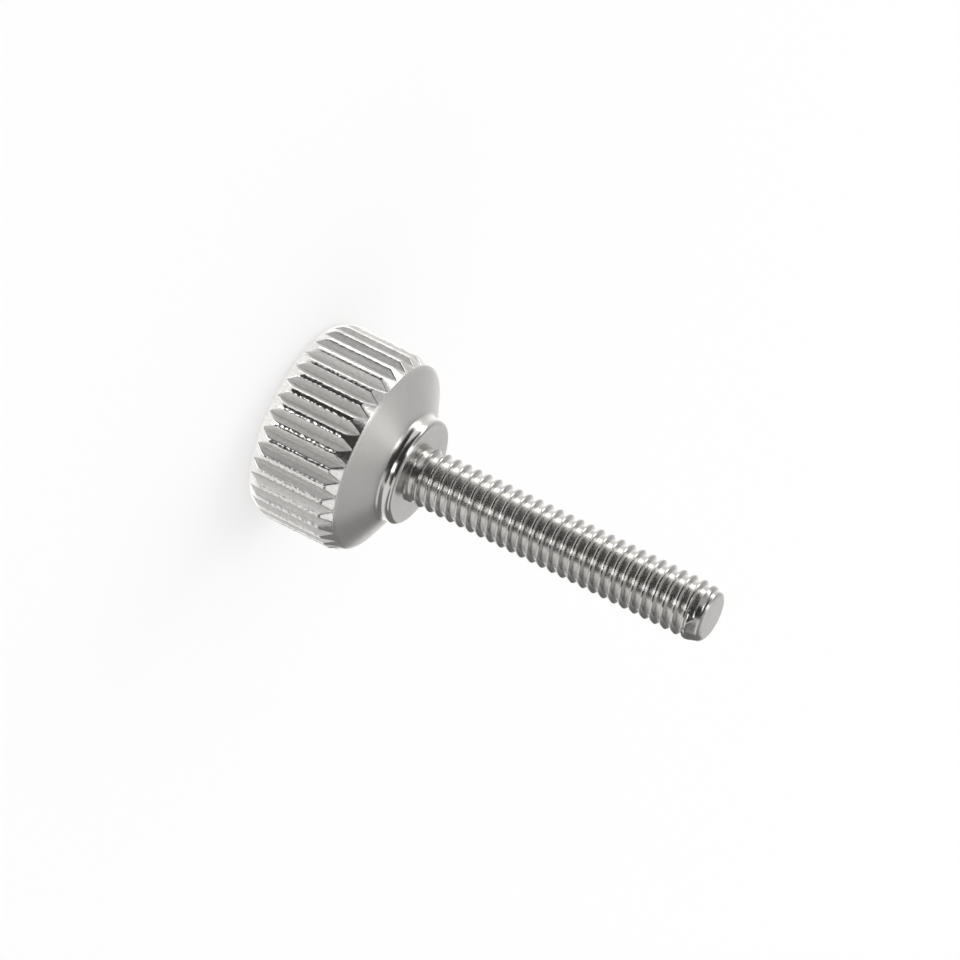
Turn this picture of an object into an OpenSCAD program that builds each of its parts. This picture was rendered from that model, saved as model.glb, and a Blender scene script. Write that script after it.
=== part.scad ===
// Knurled thumb screw with a collar, turned from one bar.
// It stands on its head at z = 0, with the shank up the Z axis. The shank's thread is left out:
// its major diameter is drawn plain.

/* [Head] */
// Diameter over the knurl teeth
head_d = 14.3; // [11:0.1:20]
// Height of the head from its top face to its front edge
head_h = 6.65; // [5:0.05:12]
// Length along the axis of the bevel round the top
top_bevel_h = 0.85; // [0.5:0.05:1.5]
// How far the top bevel comes in
top_bevel_w = 0.5; // [0.3:0.05:1]
// Length along the axis of the bevel round the front
front_bevel_h = 0.85; // [0.5:0.05:1.5]
// How far the front bevel comes in
front_bevel_w = 0.42; // [0.3:0.02:0.9]

/* [Knurl] */
// Number of straight grooves
groove_count = 36; // [24:1:42]
// Angle between the two sides of a groove
groove_angle = 96; // [80:1:110]
// Radius at the bottom of a groove
groove_root = 0.12; // [0.08:0.01:0.2]
// Metal left outside the front edge, under the grooves
groove_rim = 0.03; // [0.02:0.01:0.1]

/* [Underside and collar] */
// Slope of the underside, measured from a flat face
underside_angle = 28.3; // [15:0.1:40]
// Collar diameter
collar_d = 7.65; // [6:0.05:9]
// Distance from the front edge of the head to the collar's face
collar_reach = 2.6; // [2.2:0.05:4]
// Fillet between the underside and the collar
collar_fillet = 0.45; // [0.2:0.05:0.6]
// Rounding of the collar's outer edge
collar_round = 0.3; // [0.1:0.05:0.35]

/* [Shank] */
// Major diameter of the thread
shank_d = 4.14; // [3.5:0.01:5]
// Length from the collar's face to the tip
shank_length = 22.6; // [10:0.1:45]
// Length along the axis of the bevel at the tip
tip_bevel_h = 0.85; // [0.6:0.05:1.2]
// How far the tip's bevel comes in
tip_bevel_w = 0.3; // [0.25:0.01:0.45]

/* [Edges] */
// Rounding where the top bevel meets the knurl
top_round = 0.9; // [0.4:0.05:1]
// Rounding of the tip's edge
tip_round = 0.32; // [0.2:0.02:0.4]
// Rounding of the other turned edges
edge_round = 0.1; // [0.05:0.01:0.15]

/* [Hidden] */
$fn = 96;

head_r = head_d / 2;
collar_r = collar_d / 2;
shank_r = shank_d / 2;
top_face_r = head_r - top_bevel_w;
front_edge_r = head_r - front_bevel_w;
tip_face_r = shank_r - tip_bevel_w;

// Roundings are drawn this much over size
crossing = 1.004;

// Stations along the axis, counted from the head's top face
front_bevel_z = head_h - front_bevel_h;
collar_start_z = head_h + (front_edge_r - collar_r) * tan(underside_angle);
collar_face_z = head_h + collar_reach;
tip_bevel_z = collar_face_z + shank_length - tip_bevel_h;
tip_z = collar_face_z + shank_length;

// Corners of the turned section, [radius, station]
top_corner = [top_face_r, 0];
knurl_top = [head_r, top_bevel_h];
knurl_front = [head_r, front_bevel_z];
front_corner = [front_edge_r, head_h];
collar_root = [collar_r, collar_start_z];
collar_corner = [collar_r, collar_face_z];
shank_root = [shank_r, collar_face_z];
shank_end = [shank_r, tip_bevel_z];
tip_corner = [tip_face_r, tip_z];

// A groove's section: a circle at the bottom and two flanks that cross it just inside its sides.
// flank_share is how far out on the circle's radius they pass, and mouth_over how far its cutter
// stands clear of the teeth.
flank_share = 0.96;
mouth_over = 0.1;
groove_floor_r = front_edge_r + groove_rim;
groove_centre_r = groove_floor_r + groove_root;
flank_lean = groove_angle / 2;
flank_gap = groove_root * flank_share;
flank_x = flank_gap * cos(flank_lean);
flank_y = groove_centre_r - flank_gap * sin(flank_lean);
groove_mouth_r = head_r + mouth_over;
mouth_x = flank_x + (groove_mouth_r - flank_y) * tan(flank_lean);

metal = [0.72, 0.71, 0.69];

// Unit vector from one point to another
function toward(from, to) = (to - from) / norm(to - from);

// Half the angle at a corner
function half_corner(before, corner, after) =
    acos(toward(corner, before) * toward(corner, after)) / 2;

// Centre of the circle that rounds a corner
function round_centre(before, corner, after, r) =
    corner + toward([0, 0], toward(corner, before) + toward(corner, after))
    * r / sin(half_corner(before, corner, after));

// How far from a corner its rounding starts
function round_run(before, corner, after, r) = r / tan(half_corner(before, corner, after));

// The circle that shapes a rounding, a hair over size so that it crosses both edges
module round_circle(before, corner, after, r) {
    translate(round_centre(before, corner, after, r))
        circle(r = r * crossing);
}

// What rounding takes off an outward corner.
// All but its arc stands clear of the outline by the margin.
module corner_sliver(before, corner, after, r) {
    margin = 0.05;
    centre = round_centre(before, corner, after, r);
    run = round_run(before, corner, after, r);
    start = corner + toward(corner, before) * run;
    end = corner + toward(corner, after) * run;
    difference() {
        polygon([
            centre,
            start + toward(centre, start) * margin,
            corner + toward(centre, corner) * margin * 2,
            end + toward(centre, end) * margin
        ]);
        round_circle(before, corner, after, r);
    }
}

// Half section of the turned part, radius along X and height along Y
module turned_section() {
    fillet_run = round_run(front_corner, collar_root, collar_corner, collar_fillet);
    fillet_start = collar_root + toward(collar_root, front_corner) * fillet_run;
    fillet_end = collar_root + toward(collar_root, collar_corner) * fillet_run;
    difference() {
        polygon([
            [0, 0], top_corner, knurl_top, knurl_front, front_corner,
            fillet_start, fillet_end, collar_corner,
            shank_root, shank_end, tip_corner, [0, tip_z]
        ]);
        round_circle(front_corner, collar_root, collar_corner, collar_fillet);
        corner_sliver([0, 0], top_corner, knurl_top, edge_round);
        corner_sliver(top_corner, knurl_top, knurl_front, top_round);
        corner_sliver(knurl_front, front_corner, fillet_start, edge_round);
        corner_sliver(fillet_end, collar_corner, shank_root, collar_round);
        corner_sliver(shank_end, tip_corner, [0, tip_z], tip_round);
    }
}

// One straight groove, standing on +X and running the whole height of the head
module groove() {
    overrun = 1;
    translate([0, 0, -overrun])
        linear_extrude(head_h + overrun * 2) {
            polygon([
                [flank_y, -flank_x], [groove_mouth_r, -mouth_x],
                [groove_mouth_r, mouth_x], [flank_y, flank_x]
            ]);
            translate([groove_centre_r, 0])
                circle(r = groove_root);
        }
}

module thumb_screw() {
    color(metal)
        difference() {
            rotate_extrude()
                turned_section();
            for (i = [0 : groove_count - 1])
                rotate([0, 0, i * 360 / groove_count])
                    groove();
        }
}

thumb_screw();
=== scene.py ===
# Thumb screw: straight knurled head, collar and threaded shank, turned from one bar
import math

import bmesh
import bpy
import numpy as np
from mathutils import Matrix, Vector


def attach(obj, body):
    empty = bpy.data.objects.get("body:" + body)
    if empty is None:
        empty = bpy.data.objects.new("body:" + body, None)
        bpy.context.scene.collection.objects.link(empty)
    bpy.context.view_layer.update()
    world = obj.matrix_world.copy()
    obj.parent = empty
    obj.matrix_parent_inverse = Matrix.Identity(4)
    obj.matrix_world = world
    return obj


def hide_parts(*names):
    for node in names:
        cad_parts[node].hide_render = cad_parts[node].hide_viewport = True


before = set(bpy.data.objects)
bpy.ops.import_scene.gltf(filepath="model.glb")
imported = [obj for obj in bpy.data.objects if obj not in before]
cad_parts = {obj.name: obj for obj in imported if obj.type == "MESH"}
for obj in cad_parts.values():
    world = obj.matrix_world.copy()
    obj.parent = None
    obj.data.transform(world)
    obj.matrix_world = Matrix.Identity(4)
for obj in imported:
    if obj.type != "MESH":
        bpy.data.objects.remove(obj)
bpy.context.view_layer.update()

mm = 0.001
scene = bpy.context.scene
scene.view_settings.view_transform = "Standard"
print("frame loaded:", sorted(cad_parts))


# Small helpers for node trees

def setInput(tree, socket, value):
    if isinstance(value, bpy.types.NodeSocket):
        tree.links.new(value, socket)
    else:
        socket.default_value = value


def calc(tree, operation, *values, clamp=False):
    node = tree.nodes.new("ShaderNodeMath")
    node.operation = operation
    node.use_clamp = clamp
    for socket, value in zip(node.inputs, values):
        setInput(tree, socket, value)
    return node.outputs[0]


def mapRange(tree, value, fromMin, fromMax, toMin, toMax, smooth=False):
    node = tree.nodes.new("ShaderNodeMapRange")
    node.interpolation_type = "SMOOTHSTEP" if smooth else "LINEAR"
    for name, v in zip(("Value", "From Min", "From Max", "To Min", "To Max"),
                       (value, fromMin, fromMax, toMin, toMax)):
        setInput(tree, node.inputs[name], v)
    return node.outputs["Result"]


def startTree(name, sizes):
    # sizes: list of (socket name, socket type, value)
    tree = bpy.data.node_groups.new(name, "GeometryNodeTree")
    tree.interface.new_socket("Geometry", in_out="INPUT", socket_type="NodeSocketGeometry")
    for socketName, kind, value in sizes:
        socket = tree.interface.new_socket(socketName, in_out="INPUT", socket_type=kind)
        if value is not None:
            socket.default_value = value
    tree.interface.new_socket("Geometry", in_out="OUTPUT", socket_type="NodeSocketGeometry")
    return tree, tree.nodes.new("NodeGroupInput"), tree.nodes.new("NodeGroupOutput")


def runTree(obj, tree, values, pieceName):
    # puts the tree on the object, sets its inputs by identifier and keeps the result as a plain mesh
    modifier = obj.modifiers.new(tree.name, "NODES")
    modifier.node_group = tree
    for item in tree.interface.items_tree:
        if item.item_type == "SOCKET" and item.in_out == "INPUT" and item.name in values:
            modifier[item.identifier] = values[item.name]
    scene.collection.objects.link(obj)
    depsgraph = bpy.context.evaluated_depsgraph_get()
    mesh = bpy.data.meshes.new_from_object(obj.evaluated_get(depsgraph), depsgraph=depsgraph)
    mesh.name = pieceName
    obj.modifiers.remove(modifier)
    bpy.data.objects.remove(obj)
    return mesh


# Metal finishes

# rough: where the metal is satin and where it is polished; grain: specks to the metre and their relief
# in mm; lathe: relief of the tool's rings in mm; fleck: how far the grain changes the tone
turnedFinish = {
    "colour": (0.72, 0.71, 0.69),
    "satinRough": 0.34,
    "polishedRough": 0.16,
    "grain": 9000,
    "grainStretch": (1, 1, 1),
    "grainHeight": 0.0010,
    "lathe": 0.0012,
    "fleck": 0.02,
}
knurledFinish = {
    "colour": (0.95, 0.94, 0.915),
    "satinRough": 0.55,
    "polishedRough": 0.15,
    "grain": 7000,
    "grainStretch": (1, 1, 0.5),
    "grainHeight": 0.0032,
    "lathe": 0.0,
    "fleck": 0.10,
}
threadFinish = {
    "colour": (0.585, 0.575, 0.555),
    "satinRough": 0.25,
    "polishedRough": 0.15,
    "grain": 5500,
    "grainStretch": (1, 1, 1),
    "grainHeight": 0.0050,
    "lathe": 0.0,
    "fleck": 0.08,
}
steel = {
    "wornColour": (0.88, 0.87, 0.85),      # on proud edges
    "grooveColour": (0.80, 0.79, 0.77),    # down in the grooves
    "grooveShare": 0.9,
    "cloudScale": 420,
    "cloudTone": (0.95, 1.03),
    "roughSpread": (-0.03, 0.04),
    "ringScale": 9000,
    "ringLean": 0.7,                       # share of height in the lathe rings' run
    "noiseSpan": (0.3, 0.7),               # where the noise starts and ends for slow changes
    "noiseMiddle": (0.35, 0.65),           # the same for sharper ones
    "patchLeast": 0.6,                     # least share of the groove colour that a groove keeps
    "wearFrom": 0.1,                       # wear below this doesn't show
}


def metalMaterial(name, finish):
    mat = bpy.data.materials.new(name)
    mat.use_nodes = True
    tree = mat.node_tree
    nodes, links = tree.nodes, tree.links
    shader = nodes["Principled BSDF"]
    shader.inputs["Metallic"].default_value = 1.0
    where = nodes.new("ShaderNodeTexCoord").outputs["Object"]

    satin = nodes.new("ShaderNodeAttribute")
    satin.attribute_name = "satin"
    wear = nodes.new("ShaderNodeAttribute")
    wear.attribute_name = "wear"          # 1 on proud edges, -1 down in the grooves

    cloud = nodes.new("ShaderNodeTexNoise")  # slow change of tone over the metal
    cloud.inputs["Scale"].default_value = steel["cloudScale"]
    cloud.inputs["Detail"].default_value = 3
    links.new(where, cloud.inputs["Vector"])

    stretch = nodes.new("ShaderNodeMapping")
    stretch.inputs["Scale"].default_value = finish["grainStretch"]
    links.new(where, stretch.inputs["Vector"])
    speck = nodes.new("ShaderNodeTexNoise")
    speck.inputs["Scale"].default_value = finish["grain"]
    speck.inputs["Detail"].default_value = 4
    speck.inputs["Roughness"].default_value = 0.6
    links.new(stretch.outputs["Vector"], speck.inputs["Vector"])

    # colour: bare metal, drawn towards the worn colour on proud edges and towards the groove colour down in
    # the grooves
    tone = nodes.new("ShaderNodeMix")
    tone.data_type = "RGBA"
    tone.inputs["A"].default_value = (*finish["colour"], 1)
    tone.inputs["B"].default_value = (*steel["wornColour"], 1)
    links.new(mapRange(tree, wear.outputs["Fac"], steel["wearFrom"], 1.0, 0.0, 1.0), tone.inputs["Factor"])
    grooveTone = nodes.new("ShaderNodeMix")
    grooveTone.data_type = "RGBA"
    grooveTone.inputs["B"].default_value = (*steel["grooveColour"], 1)
    links.new(tone.outputs["Result"], grooveTone.inputs["A"])
    low = mapRange(tree, wear.outputs["Fac"], -steel["wearFrom"], -1.0, 0.0, steel["grooveShare"])
    patchy = mapRange(tree, cloud.outputs["Fac"], *steel["noiseMiddle"], steel["patchLeast"], 1.0)
    links.new(calc(tree, "MULTIPLY", low, patchy), grooveTone.inputs["Factor"])
    shade = nodes.new("ShaderNodeMix")
    shade.data_type = "RGBA"
    shade.blend_type = "MULTIPLY"
    shade.inputs["Factor"].default_value = 1.0
    links.new(grooveTone.outputs["Result"], shade.inputs["A"])
    grey = nodes.new("ShaderNodeCombineColor")
    level = calc(tree, "MULTIPLY",
                 mapRange(tree, cloud.outputs["Fac"], *steel["noiseSpan"], *steel["cloudTone"]),
                 mapRange(tree, speck.outputs["Fac"], *steel["noiseMiddle"],
                          1.0 - finish["fleck"], 1.0 + finish["fleck"] / 2))
    for channel in range(3):
        links.new(level, grey.inputs[channel])
    links.new(grey.outputs["Color"], shade.inputs["B"])
    links.new(shade.outputs["Result"], shader.inputs["Base Color"])

    # gloss: polished where the tool burnished it, satin elsewhere, broken by the grain
    rough = mapRange(tree, satin.outputs["Fac"], 0.0, 1.0, finish["polishedRough"], finish["satinRough"])
    broken = mapRange(tree, speck.outputs["Fac"], *steel["noiseSpan"], *steel["roughSpread"])
    links.new(calc(tree, "ADD", rough, broken, clamp=True), shader.inputs["Roughness"])

    # relief: fine grain and, on the turned faces, the rings the lathe tool left
    bump = nodes.new("ShaderNodeBump")
    bump.inputs["Strength"].default_value = 1.0
    bump.inputs["Distance"].default_value = finish["grainHeight"] * mm
    links.new(speck.outputs["Fac"], bump.inputs["Height"])
    last = bump
    if finish["lathe"]:
        split = nodes.new("ShaderNodeSeparateXYZ")
        links.new(where, split.inputs[0])
        across = calc(tree, "SQRT", calc(tree, "ADD",
                      calc(tree, "MULTIPLY", split.outputs["X"], split.outputs["X"]),
                      calc(tree, "MULTIPLY", split.outputs["Y"], split.outputs["Y"])))
        along = calc(tree, "ADD", across, calc(tree, "MULTIPLY", split.outputs["Z"], steel["ringLean"]))
        ringSpot = nodes.new("ShaderNodeCombineXYZ")
        links.new(calc(tree, "MULTIPLY", along, steel["ringScale"]), ringSpot.inputs["X"])
        rings = nodes.new("ShaderNodeTexNoise")
        rings.noise_dimensions = "3D"
        rings.inputs["Scale"].default_value = 1.0
        rings.inputs["Detail"].default_value = 2
        links.new(ringSpot.outputs[0], rings.inputs["Vector"])
        turned = nodes.new("ShaderNodeBump")
        turned.inputs["Strength"].default_value = 1.0
        turned.inputs["Distance"].default_value = finish["lathe"] * mm
        links.new(rings.outputs["Fac"], turned.inputs["Height"])
        links.new(bump.outputs["Normal"], turned.inputs["Normal"])
        last = turned
    links.new(last.outputs["Normal"], shader.inputs["Normal"])
    return mat


turnedSteel = metalMaterial("turnedSteel", turnedFinish)
knurledSteel = metalMaterial("knurledSteel", knurledFinish)
threadSteel = metalMaterial("threadSteel", threadFinish)
print("finishes made")


# Head and collar: one ten-degree slice with a groove down its middle, turned 36 times.
# Lengths in mm, heights from the top of the head, which is down when the screw stands on it.

head = {
    "grooves": 36,
    "radius": 7.15,
    "height": 6.65,
    "topRadius": 6.65,
    "topBevel": 0.85,
    "topRound": 0.9,
    "frontRadius": 6.73,
    "frontBevel": 0.85,
    "edgeRound": 0.1,
    "grooveFloor": 6.76,
    "grooveRoot": 0.12,
    "grooveLean": 48.0,
    "crestRound": 0.06,
    "collarRadius": 3.825,
    "collarStart": 8.2141,
    "collarFace": 9.25,
    "collarFillet": 0.45,
    "collarRound": 0.3,
    "collarCrown": 0.03,
    "burrDepth": 0.02,
    "burrSize": 0.16,
    "burrSeed": 3.0,
    "burrNoise": (0.36, 0.62),   # noise at which a burr begins and is full
    "bevelBurr": 0.35,           # share of the burrs that is left on the bevels
    "sideRows": 54,              # rows of points along each groove
    "frontRows": 9,
    "coneRows": 9,
    "collarRows": 4,
    "topSteps": 5,               # steps round each rounded corner
    "edgeSteps": 4,
    "filletSteps": 7,
    "collarSteps": 8,
    "bevelSteps": (0.03, 0.09, 0.17, 0.25),   # rows on the top bevel, out from the groove's floor
    "frontStep": 0.03,           # the last row on the front bevel, out from the groove's floor
    "grooveEnd": 0.004,          # the rows where the groove has all but run out
    "pastGroove": (0.01, 0.007),  # plain rows inside the floor, on the top and the front bevel
    "shoulder": (0.008, 0.012),  # in and forward: the row that keeps the knurl's front corner crisp
    "faceRings": (5.6, 4.2, 2.8, 1.4),
    "coneStart": (6.69, 6.671),  # radius and height where the cone leaves the rounded front edge
    "collarInside": 2.0,         # the collar's face runs on to here, inside the shank
    "coarse": 4,                 # columns of a slice where there is no groove
    "weld": 0.001,
    # the points of half a groove as shares of its flank, of its rounded crest and of its land
    "flankSteps": (0, 0.07, 0.14, 0.34, 0.56, 0.78, 1),
    "crestSteps": (1 / 3, 2 / 3, 1),
    "landSteps": (0.5, 1),
    "crestShare": 0.3,           # most of the flank that the rounded crest may take
}

# how satin and how worn the turned faces are
faceFinish = {
    "grooveTip": (0.1, 0.3),
    "topEdge": (0.2, 0.5),
    "topFace": (0.8, 0.0),
    "frontEdge": (0.3, 0.8),
    "cone": (1.0, 0.0),
    "collarSide": (0.0, 0.2),
}
filletPolish = 0.8               # how far the satin is gone where the fillet meets the collar

# the twelve points of half a groove, from its bottom to mid land: how proud, how deep and how satin
edgeWeight = [0, 0, 0, 0.0, 0.05, 0.25, 0.7, 0.95, 1.0, 0.85, 0.5, 0.35]
lowWeight = [-1, -0.9, -0.7, -0.35, -0.15, 0, 0, 0, 0, 0, 0, 0]
satinWeight = [1, 1, 1, 1, 1, 0.9, 0.5, 0.2, 0.1, 0, 0, 0]


def roundedCorner(before, corner, after, radius, steps):
    # points of the arc that rounds a corner of the section
    before, corner, after = Vector(before), Vector(corner), Vector(after)
    back, on = (before - corner).normalized(), (after - corner).normalized()
    half = back.angle(on) / 2
    centre = corner + (back + on).normalized() * radius / math.sin(half)
    start = corner + back * radius / math.tan(half)
    end = corner + on * radius / math.tan(half)
    a0 = math.atan2(start.y - centre.y, start.x - centre.x)
    a1 = math.atan2(end.y - centre.y, end.x - centre.x)
    turn = (a1 - a0 + math.pi) % (2 * math.pi) - math.pi
    return [(centre.x + radius * math.cos(a0 + turn * i / steps),
             centre.y + radius * math.sin(a0 + turn * i / steps)) for i in range(steps + 1)]


def between(a, b, count):
    return [(a[0] + (b[0] - a[0]) * i / (count + 1), a[1] + (b[1] - a[1]) * i / (count + 1))
            for i in range(1, count + 1)]


def grooveHalf(outer, p):
    # half of the groove's section where the head's radius is outer: from the bottom up to mid land
    lean = math.radians(p["grooveLean"])
    root, floor = p["grooveRoot"], p["grooveFloor"]
    centre = floor + root
    bendX, bendY = centre - root * math.sin(lean), root * math.cos(lean)

    def side(x):
        if x <= bendX:
            return math.sqrt(max(0.0, root ** 2 - (centre - x) ** 2))
        return bendY + (x - bendX) * math.tan(lean)

    halvings, samples = 50, 80
    low, high = floor, outer
    for _ in range(halvings):
        x = (low + high) / 2
        if x * x + side(x) ** 2 > outer ** 2:
            high = x
        else:
            low = x
    path = [floor + (low - floor) * (i / samples) ** 2 for i in range(samples + 1)]
    path = np.array([(x, side(x)) for x in path])
    run = np.concatenate([[0], np.cumsum(np.hypot(*np.diff(path, axis=0).T))])
    edge = min(p["crestRound"], p["crestShare"] * run[-1])
    reach = run[-1] - edge
    points = [(np.interp(s * reach, run, path[:, 0]), np.interp(s * reach, run, path[:, 1]))
              for s in p["flankSteps"]]
    mouthAngle = math.atan2(path[-1, 1], path[-1, 0])
    landAngle = mouthAngle + edge / outer
    a, b = np.array(points[-1]), path[-1]
    c = np.array([outer * math.cos(landAngle), outer * math.sin(landAngle)])
    for t in p["crestSteps"]:
        points.append(tuple(a * (1 - t) ** 2 + b * 2 * t * (1 - t) + c * t * t))
    halfSlice = math.pi / p["grooves"]
    for t in p["landSteps"]:
        angle = landAngle + (halfSlice - landAngle) * t
        points.append((outer * math.cos(angle), outer * math.sin(angle)))
    return points


def buildSlice(p):
    halfSlice = math.pi / p["grooves"]
    top, knurlTop = (p["topRadius"], 0), (p["radius"], p["topBevel"])
    knurlFront = (p["radius"], p["height"] - p["frontBevel"])
    front, root = (p["frontRadius"], p["height"]), (p["collarRadius"], p["collarStart"])
    corner, inner = (p["collarRadius"], p["collarFace"]), (p["collarInside"], p["collarFace"])

    def onLine(a, b, radius):
        t = (radius - a[0]) / (b[0] - a[0])
        return (radius, a[1] + (b[1] - a[1]) * t)

    floor = p["grooveFloor"]
    topArc = roundedCorner(top, knurlTop, knurlFront, p["topRound"], p["topSteps"])
    fine = [onLine(top, knurlTop, floor + p["grooveEnd"])]
    fine += [onLine(top, knurlTop, floor + step) for step in p["bevelSteps"]]
    fine += topArc
    fine += between(topArc[-1], knurlFront, p["sideRows"])
    inward, forward = p["shoulder"]
    fine += [(p["radius"] - inward, knurlFront[1] + forward)]
    lastRow = onLine(knurlFront, front, floor + p["frontStep"])
    fine += between(fine[-1], lastRow, p["frontRows"] - 1)
    fine += [lastRow, onLine(knurlFront, front, floor + p["grooveEnd"])]

    bm = bmesh.new()
    satinLayer = bm.verts.layers.float.new("satin")
    wearLayer = bm.verts.layers.float.new("wear")
    edgeLayer = bm.verts.layers.float.new("burr")

    def addRow(points, z, satin, wear, burr):
        row = []
        for (x, y), s, w, b in zip(points, satin, wear, burr):
            v = bm.verts.new((x * mm, y * mm, z * mm))
            v[satinLayer], v[wearLayer], v[edgeLayer] = s, w, b
            row.append(v)
        return row

    def ringPoints(radius, count):
        return [(radius * math.cos(halfSlice * (2 * i / count - 1)),
                 radius * math.sin(halfSlice * (2 * i / count - 1))) for i in range(count + 1)]

    def plainRow(radius, z, count, satin, wear=0.0):
        n = count + 1
        return addRow(ringPoints(radius, count), z, [satin] * n, [wear] * n, [0] * n)

    def mirrored(values):
        return values[:0:-1] + values

    rows = []
    for outer, z in fine:
        half = grooveHalf(outer, p)
        points = [(x, -y) for x, y in half[:0:-1]] + half
        share = min(1, (outer - floor) / (p["radius"] - floor)) ** 0.5   # the groove dies out on the bevels
        wear = [(e + l) * share for e, l in zip(edgeWeight, lowWeight)]
        straight = 1 if p["topBevel"] < z < knurlFront[1] else p["bevelBurr"]
        burr = [e * share * straight for e in edgeWeight]
        rows.append(addRow(points, z, mirrored(satinWeight), mirrored(wear), mirrored(burr)))

    columns = len(rows[0]) - 1
    pastTop, pastFront = p["pastGroove"]
    tipTop = plainRow(*onLine(top, knurlTop, floor - pastTop), columns, *faceFinish["grooveTip"])
    tipFront = plainRow(*onLine(knurlFront, front, floor - pastFront), columns, *faceFinish["grooveTip"])
    rows = [tipTop] + rows + [tipFront]

    def joinRows(a, b):
        for i in range(len(a) - 1):
            bm.faces.new((a[i], a[i + 1], b[i + 1], b[i]))

    for a, b in zip(rows, rows[1:]):
        joinRows(a, b)

    # top face, from the bevel in to the centre
    coarse = p["coarse"]
    topEdge = roundedCorner((0, 0), top, knurlTop, p["edgeRound"], p["edgeSteps"])
    topRows = [plainRow(*point, coarse, *faceFinish["topEdge"]) for point in reversed(topEdge)]
    topRows += [plainRow(r, 0, coarse, *faceFinish["topFace"]) for r in p["faceRings"]]
    for a, b in zip(topRows, topRows[1:]):
        joinRows(b, a)
    centre = bm.verts.new((0, 0, 0))
    centre[satinLayer], centre[wearLayer] = faceFinish["topFace"]
    for i in range(coarse):
        bm.faces.new((topRows[-1][i], centre, topRows[-1][i + 1]))

    # front edge, underside, fillet and collar
    under = [plainRow(*point, coarse, *faceFinish["frontEdge"])
             for point in roundedCorner(knurlFront, front, root, p["edgeRound"], p["edgeSteps"])]
    filletArc = roundedCorner(front, root, corner, p["collarFillet"], p["filletSteps"])
    under += [plainRow(*point, coarse, *faceFinish["cone"])
              for point in between(p["coneStart"], filletArc[0], p["coneRows"])]
    under += [plainRow(*point, coarse, 1.0 - filletPolish * i / p["filletSteps"])
              for i, point in enumerate(filletArc)]
    cornerArc = roundedCorner(filletArc[-1], corner, inner, p["collarRound"], p["collarSteps"])
    # the collar's side is a little barrelled
    low, high = filletArc[-1][1], p["collarFace"]
    for radius, z in between(filletArc[-1], cornerArc[0], p["collarRows"]) + cornerArc:
        bulge = max(0.0, 1 - (2 * (z - low) / (high - low) - 1) ** 2) - 1
        under.append(plainRow(radius + p["collarCrown"] * bulge, z, coarse, *faceFinish["collarSide"]))
    for a, b in zip(under, under[1:]):
        joinRows(a, b)

    # fans take the fine rows over to the coarse ones
    perCoarse = columns / coarse

    def fan(fineRow, coarseRow, flip):
        for c in range(coarse):
            first, last = round(c * perCoarse), round((c + 1) * perCoarse)
            middle = (first + last) // 2
            faces = [(coarseRow[c], coarseRow[c + 1], fineRow[middle])]
            for f in range(first, middle):
                faces.append((coarseRow[c], fineRow[f + 1], fineRow[f]))
            for f in range(middle, last):
                faces.append((coarseRow[c + 1], fineRow[f + 1], fineRow[f]))
            for face in faces:
                bm.faces.new(face[::-1] if flip else face)

    fan(tipTop, topRows[0], False)
    fan(tipFront, under[0], True)
    bmesh.ops.recalc_face_normals(bm, faces=bm.faces)
    mesh = bpy.data.meshes.new("grooveSlice")
    bm.to_mesh(mesh)
    bm.free()
    return mesh


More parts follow.
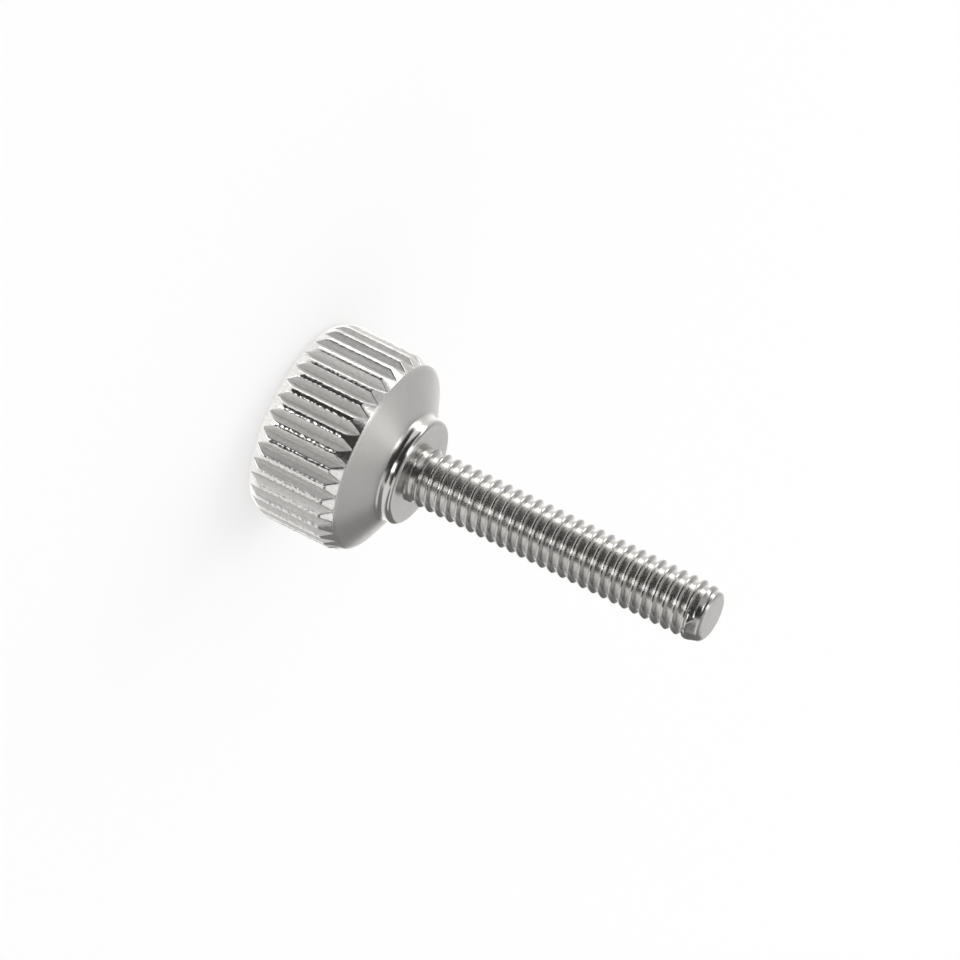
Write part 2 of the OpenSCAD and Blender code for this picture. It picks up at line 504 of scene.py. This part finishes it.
def knurlTree():
    tree, source, result = startTree("knurledHead", [
        ("Grooves", "NodeSocketInt", 36),
        ("Burr Depth", "NodeSocketFloat", 0.0),
        ("Burr Size", "NodeSocketFloat", 0.0002),
        ("Seed", "NodeSocketFloat", 3.0),
        ("Weld Distance", "NodeSocketFloat", 1e-6),
        ("Metal", "NodeSocketMaterial", None),
    ])
    nodes, links = tree.nodes, tree.links
    points = nodes.new("GeometryNodePoints")
    links.new(source.outputs["Grooves"], points.inputs["Count"])
    index = nodes.new("GeometryNodeInputIndex").outputs[0]
    step = calc(tree, "DIVIDE", 2 * math.pi, source.outputs["Grooves"])
    turn = nodes.new("ShaderNodeCombineXYZ")
    links.new(calc(tree, "MULTIPLY", index, step), turn.inputs["Z"])
    rotation = nodes.new("FunctionNodeEulerToRotation")
    links.new(turn.outputs[0], rotation.inputs[0])
    copies = nodes.new("GeometryNodeInstanceOnPoints")
    links.new(points.outputs[0], copies.inputs["Points"])
    links.new(source.outputs["Geometry"], copies.inputs["Instance"])
    links.new(rotation.outputs[0], copies.inputs["Rotation"])
    real = nodes.new("GeometryNodeRealizeInstances")
    links.new(copies.outputs[0], real.inputs[0])
    weld = nodes.new("GeometryNodeMergeByDistance")
    links.new(real.outputs[0], weld.inputs["Geometry"])
    links.new(source.outputs["Weld Distance"], weld.inputs["Distance"])

    # ragged crest edges: each point near an edge is pushed in by its own noise
    where = nodes.new("GeometryNodeInputPosition").outputs[0]
    noise = nodes.new("ShaderNodeTexNoise")
    noise.noise_dimensions = "4D"
    links.new(where, noise.inputs["Vector"])
    links.new(source.outputs["Seed"], noise.inputs["W"])
    links.new(calc(tree, "DIVIDE", 1.0, source.outputs["Burr Size"]), noise.inputs["Scale"])
    noise.inputs["Detail"].default_value = 1.0
    burr = nodes.new("GeometryNodeInputNamedAttribute")
    burr.data_type = "FLOAT"
    burr.inputs["Name"].default_value = "burr"
    amount = mapRange(tree, noise.outputs["Fac"], *head["burrNoise"], 0.0, -1.0)
    amount = calc(tree, "MULTIPLY", amount, calc(tree, "MULTIPLY", burr.outputs["Attribute"],
                                                 source.outputs["Burr Depth"]))
    split = nodes.new("ShaderNodeSeparateXYZ")
    links.new(where, split.inputs[0])
    flat = nodes.new("ShaderNodeCombineXYZ")
    links.new(split.outputs["X"], flat.inputs["X"])
    links.new(split.outputs["Y"], flat.inputs["Y"])
    outward = nodes.new("ShaderNodeVectorMath")
    outward.operation = "NORMALIZE"
    links.new(flat.outputs[0], outward.inputs[0])
    push = nodes.new("ShaderNodeVectorMath")
    push.operation = "SCALE"
    links.new(outward.outputs[0], push.inputs[0])
    links.new(amount, push.inputs["Scale"])
    move = nodes.new("GeometryNodeSetPosition")
    links.new(weld.outputs[0], move.inputs["Geometry"])
    links.new(push.outputs[0], move.inputs["Offset"])
    metal = nodes.new("GeometryNodeSetMaterial")
    last = nodes.new("GeometryNodeRealizeInstances")
    links.new(move.outputs[0], last.inputs[0])
    links.new(last.outputs[0], metal.inputs["Geometry"])
    links.new(source.outputs["Metal"], metal.inputs["Material"])
    links.new(metal.outputs[0], result.inputs[0])
    return tree


sliceObject = bpy.data.objects.new("grooveSlice", buildSlice(head))
headMesh = runTree(sliceObject, knurlTree(), {
    "Grooves": head["grooves"],
    "Burr Depth": head["burrDepth"] * mm,
    "Burr Size": head["burrSize"] * mm,
    "Seed": head["burrSeed"],
    "Weld Distance": head["weld"] * mm,
    "Metal": knurledSteel,
}, "headAndCollar")
print("head and collar:", len(headMesh.polygons), "faces")


# Thread: a strip wound up the shank, its profile a rule on height and angle. Lengths in mm.

thread = {
    "start": 9.25,
    "tip": 31.8499,
    "pitch": 0.792,
    "crestRadius": 2.07,
    "crestTaper": 0.05,
    "rootRadius": 1.77,
    "crestFlat": 0.07,
    "crestBlend": 0.05,
    "rootBlend": 0.07,
    "flankSlope": 1.98,
    "runOut": 0.5,
    "runOutRoot": 1.93,
    "crestAtFront": 10.75,
    "frontAngle": -85.0,
    "fillAngle": 10.0,
    "fillFromTip": 1.22,
    "fillDepth": 0.012,
    "fillReach": (-0.25, 0.62),  # cosine of the angle from its middle where the fill begins and is full
    "fillFade": 0.85,            # share of fillFromTip over which the fill is full
    "tipBevel": 1.0,
    "tipRadius": 1.75,
    "tipRound": 0.32,
    "stepsRound": 72,
    "stepsAcross": 14,
    "leadIn": 1.02,              # turns wound below the start, and pressed flat on the collar
    "spareTurns": 1.05,
    "tipBlend": 0.6,             # blend at the tip's bevel, as a share of the crest's
    "unevenness": 0.012,
    "unevenRing": 2.0,           # radius of the ring on which the noise is read
    "unevenScale": 2.2,
    "unevenFade": 0.4,           # the tip's edge itself stays even
    "seed": 5.0,
    "weld": 0.001,
}


def threadTree():
    floatSocket = "NodeSocketFloat"
    tree, source, result = startTree("threadedShank", [
        ("Turns", "NodeSocketInt", 30),
        ("Steps Round", "NodeSocketInt", 72),
        ("Steps Across", "NodeSocketInt", 12),
        ("Start", floatSocket, 0.0),
        ("Tip", floatSocket, 0.02),
        ("Pitch", floatSocket, 0.0008),
        ("Phase", floatSocket, 0.0),
        ("Crest Radius", floatSocket, 0.002),
        ("Crest Taper", floatSocket, 0.0),
        ("Root Radius", floatSocket, 0.0016),
        ("Crest Flat", floatSocket, 0.0001),
        ("Crest Blend", floatSocket, 0.0001),
        ("Root Blend", floatSocket, 0.0001),
        ("Flank Slope", floatSocket, 1.732),
        ("Run Out", floatSocket, 0.001),
        ("Run Out Root", floatSocket, 0.0019),
        ("Fill Angle", floatSocket, 0.0),
        ("Fill From Tip", floatSocket, 0.0),
        ("Fill Depth", floatSocket, 0.0),
        ("Tip Bevel", floatSocket, 0.0008),
        ("Tip Radius", floatSocket, 0.0018),
        ("Tip Round", floatSocket, 0.0003),
        ("Unevenness", floatSocket, 0.0),
        ("Seed", floatSocket, 1.0),
        ("Metal", "NodeSocketMaterial", None),
    ])
    nodes, links = tree.nodes, tree.links
    size = source.outputs

    def c(operation, *values, clamp=False):
        return calc(tree, operation, *values, clamp=clamp)

    grid = nodes.new("GeometryNodeMeshGrid")
    grid.inputs["Size X"].default_value = 1.0
    grid.inputs["Size Y"].default_value = 1.0
    links.new(c("ADD", c("MULTIPLY", size["Turns"], size["Steps Round"]), 1), grid.inputs["Vertices X"])
    links.new(c("ADD", size["Steps Across"], 1), grid.inputs["Vertices Y"])
    where = nodes.new("GeometryNodeInputPosition").outputs[0]
    split = nodes.new("ShaderNodeSeparateXYZ")
    links.new(where, split.inputs[0])
    # turns counted by whole steps, so that each turn's points stand exactly over the last one's
    steps = c("ROUND", c("MULTIPLY", c("ADD", split.outputs["X"], 0.5),
                         c("MULTIPLY", size["Turns"], size["Steps Round"])))
    turns = c("DIVIDE", steps, size["Steps Round"])
    inTurn = c("MODULO", steps, size["Steps Round"])
    angle = c("MULTIPLY", c("DIVIDE", inTurn, size["Steps Round"]), 2 * math.pi)
    across = c("ADD", split.outputs["Y"], 0.5)
    firstZ = c("SUBTRACT", size["Start"], c("MULTIPLY", size["Pitch"], thread["leadIn"]))
    rawZ = c("ADD", firstZ, c("MULTIPLY", size["Pitch"], c("ADD", turns, across)))
    z = c("MINIMUM", c("MAXIMUM", rawZ, size["Start"]), size["Tip"])

    # distance along the axis from the nearest crest
    share = c("SUBTRACT", c("DIVIDE", c("SUBTRACT", z, size["Phase"]), size["Pitch"]),
              c("DIVIDE", angle, 2 * math.pi))
    fromCrest = c("MULTIPLY", c("ABSOLUTE", c("SUBTRACT", share, c("ROUND", share))), size["Pitch"])
    down = c("MULTIPLY", c("SUBTRACT", fromCrest, size["Crest Flat"]), size["Flank Slope"])
    toCollar = mapRange(tree, z, size["Start"], size["Tip"], 1.0, 0.0)
    crest = c("SUBTRACT", size["Crest Radius"], c("MULTIPLY", size["Crest Taper"], toCollar))
    flank = c("SUBTRACT", crest, down)
    ramp = mapRange(tree, c("SUBTRACT", z, size["Start"]), 0.0, size["Run Out"], 0.0, 1.0, smooth=True)
    root = c("ADD", size["Run Out Root"], c("MULTIPLY", ramp, c("SUBTRACT", size["Root Radius"],
                                                                size["Run Out Root"])))
    # beside the tip the first turn's groove is closed up on one side
    side = mapRange(tree, c("COSINE", c("SUBTRACT", angle, size["Fill Angle"])),
                    *thread["fillReach"], 0.0, 1.0, smooth=True)
    near = mapRange(tree, c("DIVIDE", c("SUBTRACT", size["Tip"], z), size["Fill From Tip"]),
                    thread["fillFade"], 1.0, 1.0, 0.0, smooth=True)
    root = c("ADD", root, c("MULTIPLY", c("MULTIPLY", side, near),
                          c("SUBTRACT", c("SUBTRACT", crest, size["Fill Depth"]), root)))
    radius = c("SMOOTH_MIN", flank, crest, size["Crest Blend"])
    radius = c("SMOOTH_MAX", radius, root, size["Root Blend"])

    # the bevel and the rounded corner at the tip
    fromTip = c("SUBTRACT", size["Tip"], z)
    bevel = c("ADD", size["Tip Radius"], c("MULTIPLY", fromTip, c("DIVIDE", c(
        "SUBTRACT", size["Crest Radius"], size["Tip Radius"]), size["Tip Bevel"])))
    inside = c("MAXIMUM", c("SUBTRACT", size["Tip Round"], fromTip), 0.0)
    cut = c("SUBTRACT", size["Tip Round"], c("SQRT", c("MAXIMUM", c("SUBTRACT", c(
        "MULTIPLY", size["Tip Round"], size["Tip Round"]), c("MULTIPLY", inside, inside)), 0.0)))
    radius = c("SMOOTH_MIN", radius, c("SUBTRACT", bevel, cut),
               c("MULTIPLY", size["Crest Blend"], thread["tipBlend"]))

    # slight unevenness of a rolled thread
    noise = nodes.new("ShaderNodeTexNoise")
    noise.noise_dimensions = "4D"
    spot = nodes.new("ShaderNodeCombineXYZ")
    links.new(c("MULTIPLY", c("COSINE", angle), thread["unevenRing"]), spot.inputs["X"])
    links.new(c("MULTIPLY", c("SINE", angle), thread["unevenRing"]), spot.inputs["Y"])
    links.new(c("MULTIPLY", z, 1 / mm), spot.inputs["Z"])
    links.new(spot.outputs[0], noise.inputs["Vector"])
    links.new(size["Seed"], noise.inputs["W"])
    noise.inputs["Scale"].default_value = thread["unevenScale"]
    noise.inputs["Detail"].default_value = 3.0
    away = mapRange(tree, fromTip, 0.0, thread["unevenFade"] * mm, 0.0, 1.0)
    uneven = c("MULTIPLY", c("MULTIPLY", noise.outputs["Fac"], size["Unevenness"]), away)
    radius = c("SUBTRACT", radius, uneven)

    place = nodes.new("ShaderNodeCombineXYZ")
    links.new(c("MULTIPLY", radius, c("COSINE", angle)), place.inputs["X"])
    links.new(c("MULTIPLY", radius, c("SINE", angle)), place.inputs["Y"])
    links.new(z, place.inputs["Z"])

    def store(geometry, name, value):
        node = nodes.new("GeometryNodeStoreNamedAttribute")
        node.data_type = "FLOAT"
        node.domain = "POINT"
        node.inputs["Name"].default_value = name
        links.new(geometry, node.inputs["Geometry"])
        setInput(tree, node.inputs["Value"], value)
        return node.outputs[0]

    depth = c("DIVIDE", c("SUBTRACT", size["Crest Radius"], radius),
              c("SUBTRACT", size["Crest Radius"], size["Root Radius"]))
    stored = store(grid.outputs["Mesh"], "wear", mapRange(tree, depth, 0.0, 1.0, 0.5, -1.0))
    stored = store(stored, "satin", mapRange(tree, depth, 0.0, 1.0, 0.0, 1.0))
    move = nodes.new("GeometryNodeSetPosition")
    links.new(stored, move.inputs["Geometry"])
    links.new(place.outputs[0], move.inputs["Position"])
    weld = nodes.new("GeometryNodeMergeByDistance")
    weld.inputs["Distance"].default_value = thread["weld"] * mm
    links.new(move.outputs[0], weld.inputs["Geometry"])
    real = nodes.new("GeometryNodeRealizeInstances")
    links.new(weld.outputs[0], real.inputs[0])
    metal = nodes.new("GeometryNodeSetMaterial")
    links.new(real.outputs[0], metal.inputs["Geometry"])
    links.new(size["Metal"], metal.inputs["Material"])
    links.new(metal.outputs[0], result.inputs[0])
    return tree


turns = math.ceil((thread["tip"] - thread["start"]) / thread["pitch"] + thread["spareTurns"])
phase = thread["crestAtFront"] - thread["pitch"] * thread["frontAngle"] / 360
threadObject = bpy.data.objects.new("threadStrip", bpy.data.meshes.new("threadStrip"))
threadMesh = runTree(threadObject, threadTree(), {
    "Turns": turns,
    "Steps Round": thread["stepsRound"],
    "Steps Across": thread["stepsAcross"],
    "Start": thread["start"] * mm,
    "Tip": thread["tip"] * mm,
    "Pitch": thread["pitch"] * mm,
    "Phase": phase * mm,
    "Crest Radius": thread["crestRadius"] * mm,
    "Crest Taper": thread["crestTaper"] * mm,
    "Root Radius": thread["rootRadius"] * mm,
    "Crest Flat": thread["crestFlat"] * mm,
    "Crest Blend": thread["crestBlend"] * mm,
    "Root Blend": thread["rootBlend"] * mm,
    "Flank Slope": thread["flankSlope"],
    "Run Out": thread["runOut"] * mm,
    "Run Out Root": thread["runOutRoot"] * mm,
    "Fill Angle": math.radians(thread["fillAngle"]),
    "Fill From Tip": thread["fillFromTip"] * mm,
    "Fill Depth": thread["fillDepth"] * mm,
    "Tip Bevel": thread["tipBevel"] * mm,
    "Tip Radius": thread["tipRadius"] * mm,
    "Tip Round": thread["tipRound"] * mm,
    "Unevenness": thread["unevenness"] * mm,
    "Seed": thread["seed"],
    "Metal": threadSteel,
}, "threadedShank")
print("thread:", len(threadMesh.polygons), "faces,", turns, "turns")


# The screw: head, collar and thread sewn into one closed skin

seams = {
    "split": 3.0,            # between the shank's and the collar's edges on the collar's face
    "middle": 2.7,           # a ring of points between the two
    "tipRings": (0.8, 0.5, 0.2),
    "sharpAngle": 38,
    "turnedFrom": 0.02,      # above the head's front edge, where the turned finish begins
    "topWithin": 0.01,       # faces this near the flat top are turned too
    "oneHeight": 0.001,      # points this near in height are on one edge
    "middleSatin": 0.45,
    "outerSatin": 0.4,
    "tipSatin": 0.5,
}


def ringAt(bm, z):
    # open edge points at one height, in order of angle from +X
    near = seams["oneHeight"] * mm
    found = {v for e in bm.edges if e.is_boundary for v in e.verts if abs(v.co.z - z) < near}
    return sorted(found, key=lambda v: round(math.degrees(math.atan2(v.co.y, v.co.x)) % 360, 3))


def sewScrew():
    bm = bmesh.new()
    bm.from_mesh(headMesh)
    headFaces = set(bm.faces)
    bm.from_mesh(threadMesh)
    satinLayer = bm.verts.layers.float["satin"]
    wearLayer = bm.verts.layers.float["wear"]
    bm.faces.ensure_lookup_table()
    metals = (knurledSteel, turnedSteel, threadSteel)
    knurled, turned, threaded = range(len(metals))
    top, front = seams["topWithin"] * mm, (head["height"] + seams["turnedFrom"]) * mm
    for face in bm.faces:
        face.smooth = True
        if face in headFaces:
            onKnurl = top <= face.calc_center_median().z <= front
            face.material_index = knurled if onKnurl else turned
        else:
            face.material_index = threaded
    faceZ, tipZ = thread["start"] * mm, thread["tip"] * mm
    collarAndShank = ringAt(bm, faceZ)
    outer = [v for v in collarAndShank if v.co.xy.length > seams["split"] * mm]
    inner = [v for v in collarAndShank if v.co.xy.length < seams["split"] * mm]
    middle = []
    for v in inner:
        w = bm.verts.new((v.co.xy.normalized() * seams["middle"] * mm).to_3d() + Vector((0, 0, faceZ)))
        w[satinLayer] = seams["middleSatin"]
        middle.append(w)
    for v in outer:
        v[satinLayer] = seams["outerSatin"]
    count = len(inner)
    ratio = len(outer) // count
    for i in range(count):
        j = (i + 1) % count
        faces = [bm.faces.new((inner[i], middle[i], middle[j], inner[j]))]
        arc = [outer[(i * ratio + k) % len(outer)] for k in range(ratio + 1)]
        faces.append(bm.faces.new((middle[i], *arc, middle[j])))
        for face in faces:
            face.material_index, face.smooth = turned, True
    # the tip's face, in rings down to its centre
    ring = ringAt(bm, tipZ)
    for share in seams["tipRings"]:
        inward = []
        for v in ring:
            direction = v.co.xy.normalized()
            w = bm.verts.new((direction * thread["tipRadius"] * mm * share).to_3d() + Vector((0, 0, tipZ)))
            w[satinLayer], w[wearLayer] = seams["tipSatin"], 0.0
            inward.append(w)
        for i in range(len(ring)):
            j = (i + 1) % len(ring)
            face = bm.faces.new((ring[i], ring[j], inward[j], inward[i]))
            face.material_index, face.smooth = turned, True
        ring = inward
    centre = bm.verts.new((0, 0, tipZ))
    centre[satinLayer] = seams["tipSatin"]
    for i in range(len(ring)):
        face = bm.faces.new((ring[i], ring[(i + 1) % len(ring)], centre))
        face.material_index, face.smooth = turned, True
    bmesh.ops.recalc_face_normals(bm, faces=bm.faces)
    openEdges = sum(1 for e in bm.edges if not e.is_manifold)
    mesh = bpy.data.meshes.new("thumbScrew")
    bm.to_mesh(mesh)
    bm.free()
    for mat in metals:
        mesh.materials.append(mat)
    mesh.set_sharp_from_angle(angle=math.radians(seams["sharpAngle"]))
    mesh.update()
    triangles = sum(len(p.vertices) - 2 for p in mesh.polygons)
    print("screw sewn:", triangles, "triangles,", openEdges, "open edges")
    return mesh


screw = bpy.data.objects.new("thumbScrew", sewScrew())
scene.collection.objects.link(screw)
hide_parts("thumb_screw")
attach(screw, "root")


# Floor, light and camera

studio = {
    "floorSize": 6.0,
    "floorColour": (0.94, 0.94, 0.94),
    "floorRough": 0.9,
    "floorGlow": 0.55,            # share of plain white in the floor as the camera sees it
    "ambient": 0.90,
    "keyPower": 5.0,
    "keySize": 0.9,
    "keyPlace": (-0.75, 0.55, 1.35),
    # the tent that the metal reflects: its level low down, level with the screw and overhead
    "tentLow": 0.95,
    "tentMiddle": 0.83,
    "tentHigh": 0.34,
    "tentRises": (-60, -20, 40),
    # the wall behind the screw, seen where the tent opens: how far round it begins and fades in
    "wallLow": 1.22,
    "wallHigh": 0.59,
    "wallTop": 0.74,
    "wallFrom": 124,
    "wallFade": 36,
    "wallFoot": (-60, -30),
    "wallRises": (-12, 18, 22, 42),
    # the cards stand round this height, each a step nearer than the one before it
    "cardCentre": 15.0,
    "cardDistance": 0.9,
    "cardStep": 0.04,
    "cardSoft": 3,                # degrees over which a card's edge fades
}

# reflector cards round the screw: direction from its front, tilt and half sizes in degrees;
# the metal alone sees them
cards = [
    {"name": "keyCard", "turn": -92, "rise": -1, "wide": 9, "high": 37, "roll": -3, "level": 2.5},
    {"name": "frontFlag", "turn": -17, "rise": -13, "wide": 63, "high": 18, "roll": -6, "level": 0.03},
    {"name": "leftFlag", "turn": 110, "rise": 14, "wide": 56, "high": 33, "roll": -2, "level": 0.19},
    {"name": "lowCard", "turn": 15, "rise": -40, "wide": 9, "high": 19, "roll": 11, "level": 2.6},
    {"name": "highCard", "turn": -45, "rise": 54, "wide": 7, "high": 24, "roll": 21, "level": 2.6},
    {"name": "upperFlag", "turn": 4, "rise": 24, "wide": 24, "high": 25, "roll": -6, "level": 0.03},
    {"name": "sideCard", "turn": 72, "rise": 30, "wide": 36, "high": 12, "roll": -14, "level": 0.85},
    {"name": "topCard", "turn": -140, "rise": 69, "wide": 14, "high": 4, "roll": 40, "level": 1.4},
]


def linkObject(name, mesh):
    obj = bpy.data.objects.new(name, mesh)
    scene.collection.objects.link(obj)
    return obj


def onlyInReflections(obj):
    obj.visible_camera = False
    obj.visible_diffuse = False
    obj.visible_shadow = False
    obj.visible_transmission = False


def addFloor():
    half = studio["floorSize"] / 2
    bm = bmesh.new()
    bmesh.ops.create_grid(bm, x_segments=2, y_segments=2, size=half)
    mesh = bpy.data.meshes.new("studioFloor")
    bm.to_mesh(mesh)
    bm.free()
    floor = linkObject("studioFloor", mesh)
    mat = bpy.data.materials.new("whiteSweep")
    mat.use_nodes = True
    nodes, links = mat.node_tree.nodes, mat.node_tree.links
    matte = nodes["Principled BSDF"]
    matte.inputs["Base Color"].default_value = (*studio["floorColour"], 1)
    matte.inputs["Roughness"].default_value = studio["floorRough"]
    matte.inputs["Specular IOR Level"].default_value = 0.0
    # to the camera the floor is partly plain white: it meets the white air and keeps its shadow
    path = nodes.new("ShaderNodeLightPath")
    white = nodes.new("ShaderNodeEmission")
    white.inputs["Color"].default_value = (1, 1, 1, 1)
    white.inputs["Strength"].default_value = 1.0
    blend = nodes.new("ShaderNodeMixShader")
    links.new(calc(mat.node_tree, "MULTIPLY", path.outputs["Is Camera Ray"], studio["floorGlow"]),
              blend.inputs["Fac"])
    links.new(matte.outputs[0], blend.inputs[1])
    links.new(white.outputs[0], blend.inputs[2])
    links.new(blend.outputs[0], nodes["Material Output"].inputs["Surface"])
    mesh.materials.append(mat)
    floor.visible_glossy = False         # the metal sees the tent and cards on every side instead
    return floor


def cardMaterial(card, halfWide, halfHigh, soft):
    # an even card whose edge fades over the width soft
    mat = bpy.data.materials.new(card["name"])
    mat.use_nodes = True
    tree = mat.node_tree
    nodes, links = tree.nodes, tree.links
    nodes.remove(nodes["Principled BSDF"])
    split = nodes.new("ShaderNodeSeparateXYZ")
    links.new(nodes.new("ShaderNodeTexCoord").outputs["Object"], split.inputs[0])
    across, along = [calc(tree, "ABSOLUTE", split.outputs[axis]) for axis in "XY"]
    inX = mapRange(tree, across, halfWide - soft, halfWide, 1.0, 0.0, True)
    inY = mapRange(tree, along, halfHigh - soft, halfHigh, 1.0, 0.0, True)
    clear = nodes.new("ShaderNodeBsdfTransparent")
    even = nodes.new("ShaderNodeEmission")
    even.inputs["Strength"].default_value = card["level"]
    blend = nodes.new("ShaderNodeMixShader")
    links.new(calc(tree, "MULTIPLY", inX, inY), blend.inputs["Fac"])
    links.new(clear.outputs[0], blend.inputs[1])
    links.new(even.outputs[0], blend.inputs[2])
    links.new(blend.outputs[0], nodes["Material Output"].inputs["Surface"])
    return mat


def addCard(card, distance):
    turn = math.radians(view["azimuth"] - 90 + card["turn"])
    rise, roll = math.radians(card["rise"]), math.radians(card["roll"])
    away = Vector((math.cos(turn) * math.cos(rise), math.sin(turn) * math.cos(rise), math.sin(rise)))
    side = Vector((-math.sin(turn), math.cos(turn), 0))
    up = away.cross(side)
    side, up = side * math.cos(roll) + up * math.sin(roll), up * math.cos(roll) - side * math.sin(roll)
    soft = distance * math.tan(math.radians(studio["cardSoft"]))
    halfWide = distance * math.tan(math.radians(card["wide"])) + soft / 2
    halfHigh = distance * math.tan(math.radians(card["high"])) + soft / 2
    mesh = bpy.data.meshes.new(card["name"])
    mesh.from_pydata([(-halfWide, -halfHigh, 0), (halfWide, -halfHigh, 0),
                      (halfWide, halfHigh, 0), (-halfWide, halfHigh, 0)], [], [(0, 1, 2, 3)])
    mesh.materials.append(cardMaterial(card, halfWide, halfHigh, soft))
    obj = linkObject(card["name"], mesh)
    centre = Vector((0, 0, studio["cardCentre"] * mm)) + away * distance
    obj.matrix_world = Matrix.Translation(centre) @ Matrix((side, up, -away)).transposed().to_4x4()
    onlyInReflections(obj)


def addWorld():
    world = bpy.data.worlds.new("studioAir")
    scene.world = world
    world.use_nodes = True
    tree = world.node_tree
    nodes, links = tree.nodes, tree.links
    background = nodes["Background"]
    path = nodes.new("ShaderNodeLightPath")
    where = nodes.new("ShaderNodeTexCoord").outputs["Generated"]
    split = nodes.new("ShaderNodeSeparateXYZ")
    links.new(where, split.inputs[0])
    rise = calc(tree, "MULTIPLY", calc(tree, "ARCSINE", split.outputs["Z"]), 180 / math.pi)
    foot, waist, crown = studio["tentRises"]
    low = mapRange(tree, rise, foot, waist, studio["tentLow"], studio["tentMiddle"])
    level = mapRange(tree, rise, waist, crown, low, studio["tentHigh"])
    # the tent is open towards the white wall behind the screw
    facing = math.radians(view["azimuth"] - 90)
    ahead = calc(tree, "ADD", calc(tree, "MULTIPLY", split.outputs["X"], math.cos(facing)),
                 calc(tree, "MULTIPLY", split.outputs["Y"], math.sin(facing)))
    sideways = calc(tree, "SUBTRACT", calc(tree, "MULTIPLY", split.outputs["Y"], math.cos(facing)),
                    calc(tree, "MULTIPLY", split.outputs["X"], math.sin(facing)))
    turned = calc(tree, "MULTIPLY", calc(tree, "ABSOLUTE", calc(tree, "ARCTAN2", sideways, ahead)),
                  180 / math.pi)
    lowFrom, lowTo, topFrom, topTo = studio["wallRises"]
    wall = mapRange(tree, rise, lowFrom, lowTo, studio["wallLow"], studio["wallHigh"])
    lift = studio["wallTop"] - studio["wallHigh"]
    wall = calc(tree, "ADD", wall, mapRange(tree, rise, topFrom, topTo, 0.0, lift))
    fadeEnd = studio["wallFrom"] + studio["wallFade"]
    opened = calc(tree, "MULTIPLY", mapRange(tree, turned, studio["wallFrom"], fadeEnd, 0.0, 1.0),
                  mapRange(tree, rise, *studio["wallFoot"], 0.0, 1.0))
    level = calc(tree, "ADD", level, calc(tree, "MULTIPLY", opened, calc(tree, "SUBTRACT", wall, level)))
    seen = calc(tree, "MAXIMUM", path.outputs["Is Camera Ray"], path.outputs["Is Transmission Ray"])
    plain = nodes.new("ShaderNodeMix")
    plain.data_type = "FLOAT"
    links.new(path.outputs["Is Glossy Ray"], plain.inputs["Factor"])
    plain.inputs["A"].default_value = studio["ambient"]
    links.new(level, plain.inputs["B"])
    toCamera = nodes.new("ShaderNodeMix")
    toCamera.data_type = "FLOAT"
    links.new(seen, toCamera.inputs["Factor"])
    links.new(plain.outputs["Result"], toCamera.inputs["A"])
    toCamera.inputs["B"].default_value = 1.0
    links.new(toCamera.outputs["Result"], background.inputs["Strength"])
    background.inputs["Color"].default_value = (1, 1, 1, 1)


def addKey():
    data = bpy.data.lights.new("softKey", "AREA")
    data.shape = "DISK"
    data.size = studio["keySize"]
    data.energy = studio["keyPower"]
    lamp = linkObject("softKey", data)
    lamp.location = studio["keyPlace"]
    lamp.rotation_euler = Vector(studio["keyPlace"]).to_track_quat("Z", "Y").to_euler()
    lamp.visible_glossy = False


# angles in degrees, lens, sensor and aim in mm, distances in metres
view = {
    "azimuth": 5.0,
    "elevation": 18.4,
    "roll": 116.17,
    "lens": 268.7,
    "sensor": 36,
    "near": 0.01,
    "far": 20,
    "distance": 0.476,
    "aimHeight": 13.22,
    "aimLeft": 1.39,
}


def addCamera():
    a, e = math.radians(view["azimuth"]), math.radians(view["elevation"])
    back = Vector((math.sin(a) * math.cos(e), -math.cos(a) * math.cos(e), math.sin(e)))
    up = (Vector((0, 0, 1)) - back * back.z).normalized()
    right = up.cross(back)
    r = math.radians(view["roll"])
    camX = right * math.cos(r) + up * math.sin(r)
    camY = up * math.cos(r) - right * math.sin(r)
    aim = Vector((0, 0, view["aimHeight"] * mm)) - right * view["aimLeft"] * mm
    data = bpy.data.cameras.new("camera")
    data.lens, data.sensor_width = view["lens"], view["sensor"]
    data.clip_start, data.clip_end = view["near"], view["far"]
    camera = bpy.data.objects.new("camera", data)
    camera.matrix_world = Matrix.Translation(aim + back * view["distance"]) @ Matrix(
        (camX, camY, back)).transposed().to_4x4()
    scene.collection.objects.link(camera)
    scene.camera = camera


addCamera()
addFloor()
addWorld()
addKey()
for number, card in enumerate(cards):
    addCard(card, studio["cardDistance"] - studio["cardStep"] * number)
print("stage, light and camera set")
